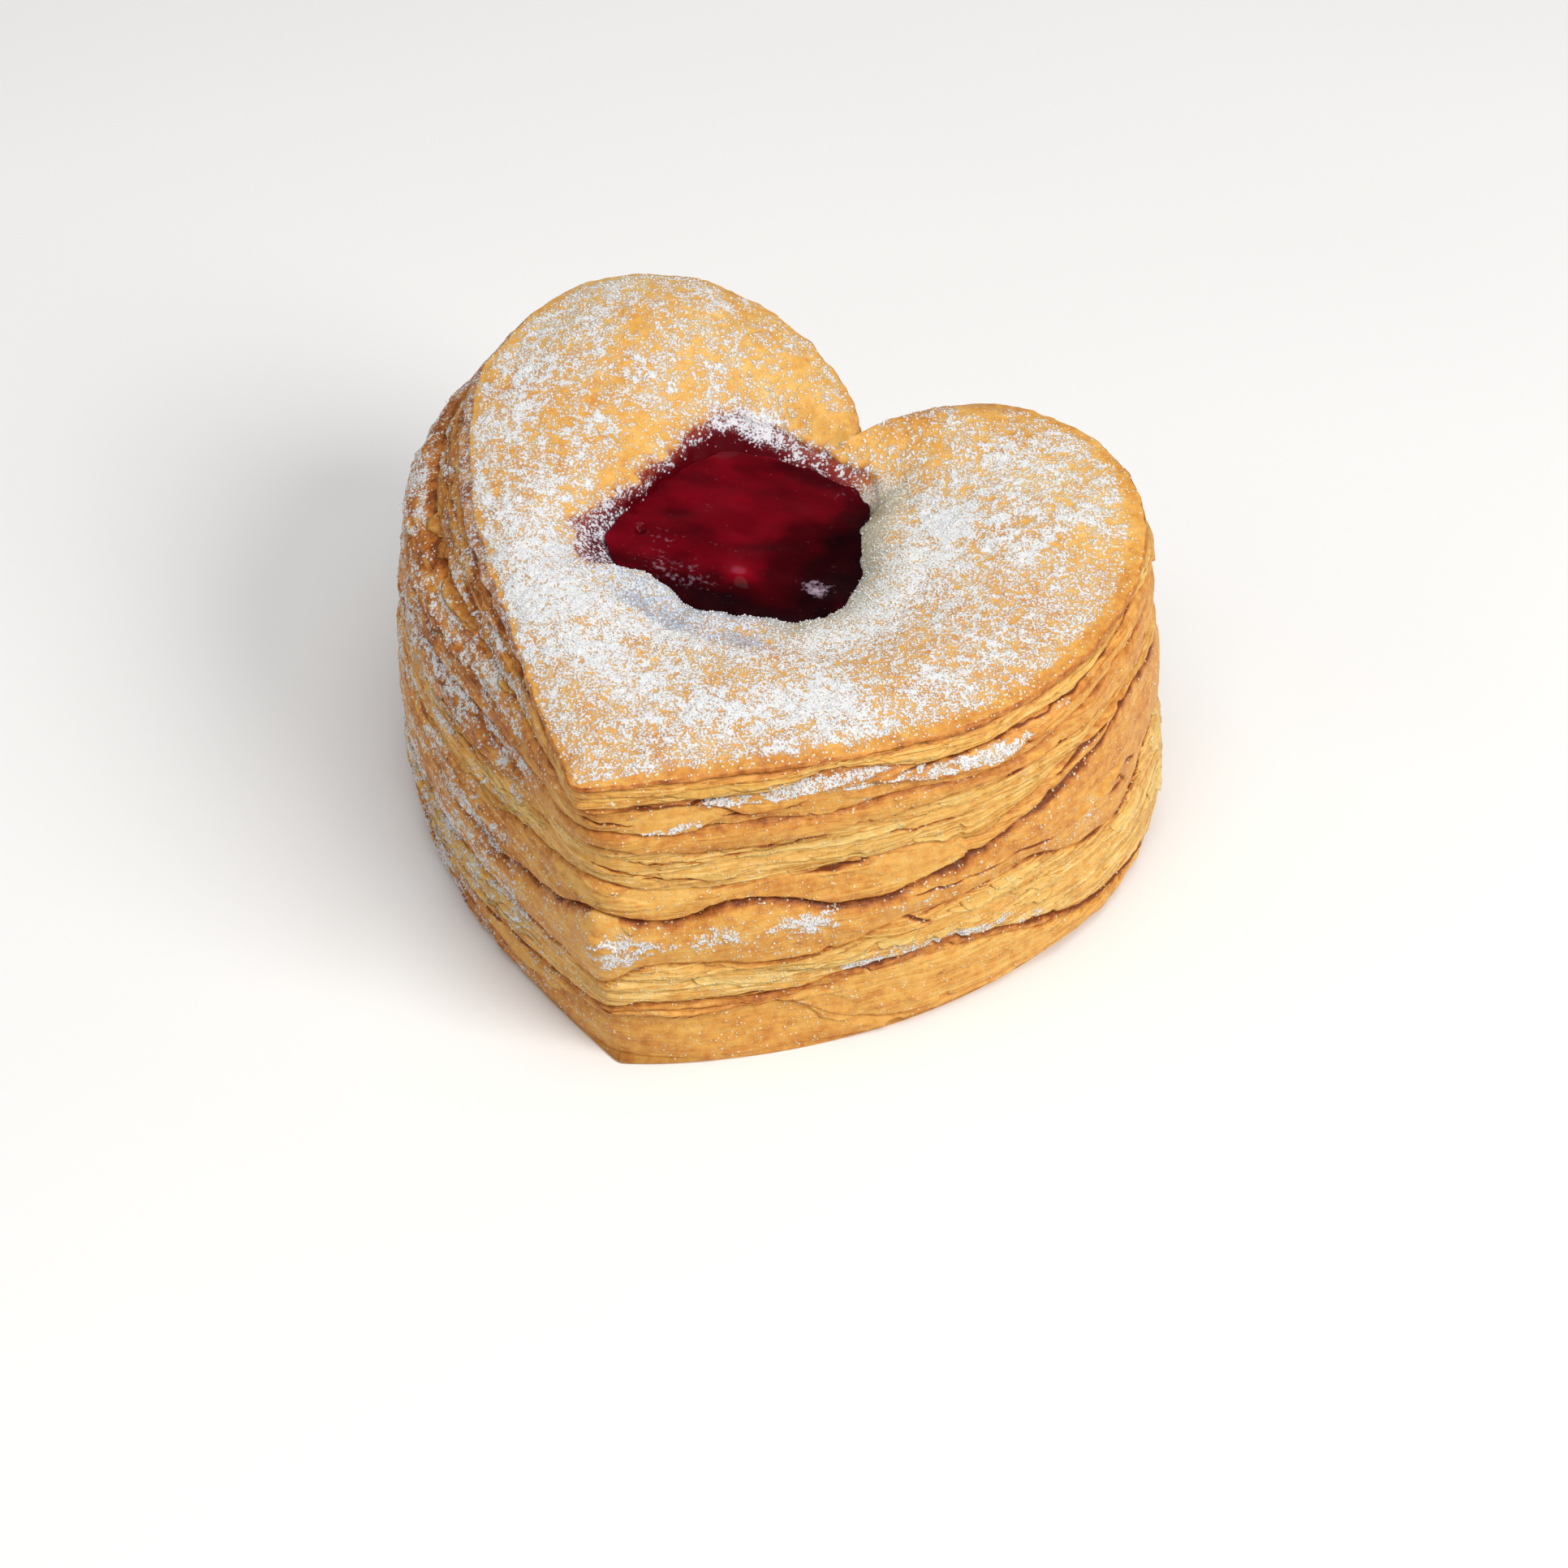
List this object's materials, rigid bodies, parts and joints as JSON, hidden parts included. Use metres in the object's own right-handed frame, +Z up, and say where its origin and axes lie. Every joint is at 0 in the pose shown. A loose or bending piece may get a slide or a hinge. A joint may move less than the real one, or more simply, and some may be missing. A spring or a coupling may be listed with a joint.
{
  "type": "heart-shaped vol-au-vent with jam filling",
  "caption": "Heart-shaped vol-au-vent: a tall, layered puff pastry case with a round well in its lid, filled with dark red fruit jam and dusted with icing sugar.",
  "frame": {"origin": "centre of the bounding box's footprint, on the surface that the pastry stands on", "axes": "+Z up, out of the well; -Y towards the heart's tip; +X towards the right lobe, seen from the tip"},
  "size_m": [0.1118, 0.1016, 0.0568],
  "materials": {
    "puff_pastry": "golden baked puff pastry, matt, with browned leaf edges and a dusting of icing sugar",
    "fruit_jam": "glossy dark red fruit jam"
  },
  "bodies": {
    "root": {"pastry_case": "puff_pastry", "jam_filling": "fruit_jam"}
  },
  "joints": []
}
